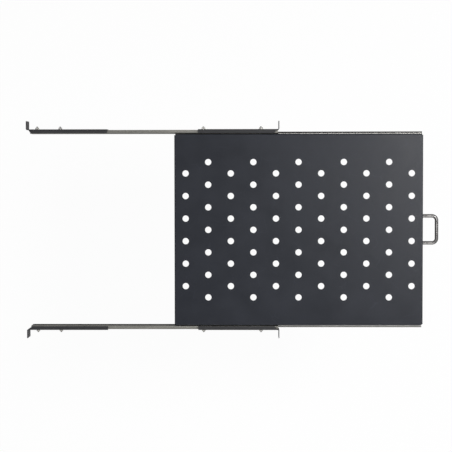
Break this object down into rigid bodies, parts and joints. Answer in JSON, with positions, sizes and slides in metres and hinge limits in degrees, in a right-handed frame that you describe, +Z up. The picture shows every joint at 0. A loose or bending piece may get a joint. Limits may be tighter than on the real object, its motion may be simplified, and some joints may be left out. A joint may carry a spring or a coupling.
{
  "type": "sliding rack shelf",
  "caption": "Black perforated steel rack shelf that pulls out on ball-bearing slides, with adjustable mounting brackets and a rod handle.",
  "frame": {"origin": "middle of the front mounting pattern, on the plane where the rear faces of the two front ears meet the rack posts", "axes": "+X across the rack to the right of someone who faces it, +Y from front to rear so the shelf pulls out towards -Y, +Z up"},
  "size_m": [0.4826, 0.915, 0.0439],
  "materials": {
    "black_coat": "fine-textured matt black powder coat",
    "satin_steel": "satin chrome plated rod",
    "zinc_slides": "rolled steel, zinc plated",
    "zinc_screws": "bright zinc plated",
    "cage_steel": "thin bright steel strip",
    "ball_steel": "polished bearing steel",
    "bumper_rubber": "moulded black rubber"
  },
  "bodies": {
    "fixed_slides": {"right_cabinet_member": "zinc_slides", "left_cabinet_member": "zinc_slides", "right_front_bracket": "black_coat", "left_front_bracket": "black_coat", "right_front_bracket_screws": "zinc_screws", "left_front_bracket_screws": "zinc_screws", "right_front_bracket_nuts": "zinc_screws", "left_front_bracket_nuts": "zinc_screws", "right_rear_bracket_screws": "zinc_screws", "left_rear_bracket_screws": "zinc_screws", "right_rear_bracket_nuts": "zinc_screws", "left_rear_bracket_nuts": "zinc_screws", "right_rear_bumper": "bumper_rubber", "left_rear_bumper": "bumper_rubber"},
    "shelf": {"shelf_plate": "black_coat", "shelf_flanges": "black_coat", "handle": "satin_steel", "handle_screws": "zinc_screws", "right_drawer_member": "zinc_slides", "left_drawer_member": "zinc_slides", "right_shelf_screws": "zinc_screws", "left_shelf_screws": "zinc_screws", "right_shelf_nuts": "zinc_screws", "left_shelf_nuts": "zinc_screws"},
    "right_cage": {"right_ball_cage": "cage_steel", "right_balls": "ball_steel"},
    "left_cage": {"left_ball_cage": "cage_steel", "left_balls": "ball_steel"},
    "right_rear_ear": {"right_rear_bracket": "black_coat"},
    "left_rear_ear": {"left_rear_bracket": "black_coat"}
  },
  "joints": [
    {"name": "shelf_slide", "type": "slide", "parent": "fixed_slides", "child": "shelf", "axis": [0, -1, 0], "range_m": [-0.317, 0.093]},
    {"name": "right_cage_roll", "type": "slide", "parent": "fixed_slides", "child": "right_cage", "axis": [0, -1, 0], "range_m": [-0.159, 0.047]},
    {"name": "left_cage_roll", "type": "slide", "parent": "fixed_slides", "child": "left_cage", "axis": [0, -1, 0], "range_m": [-0.159, 0.047]},
    {"name": "right_rear_adjust", "type": "slide", "parent": "fixed_slides", "child": "right_rear_ear", "axis": [0, 1, 0], "range_m": [0, 0.095]},
    {"name": "left_rear_adjust", "type": "slide", "parent": "fixed_slides", "child": "left_rear_ear", "axis": [0, 1, 0], "range_m": [0, 0.095]}
  ],
  "couplings": [
    {"joint": "right_cage_roll", "follows": "shelf_slide", "ratio": 0.5},
    {"joint": "left_cage_roll", "follows": "shelf_slide", "ratio": 0.5}
  ]
}
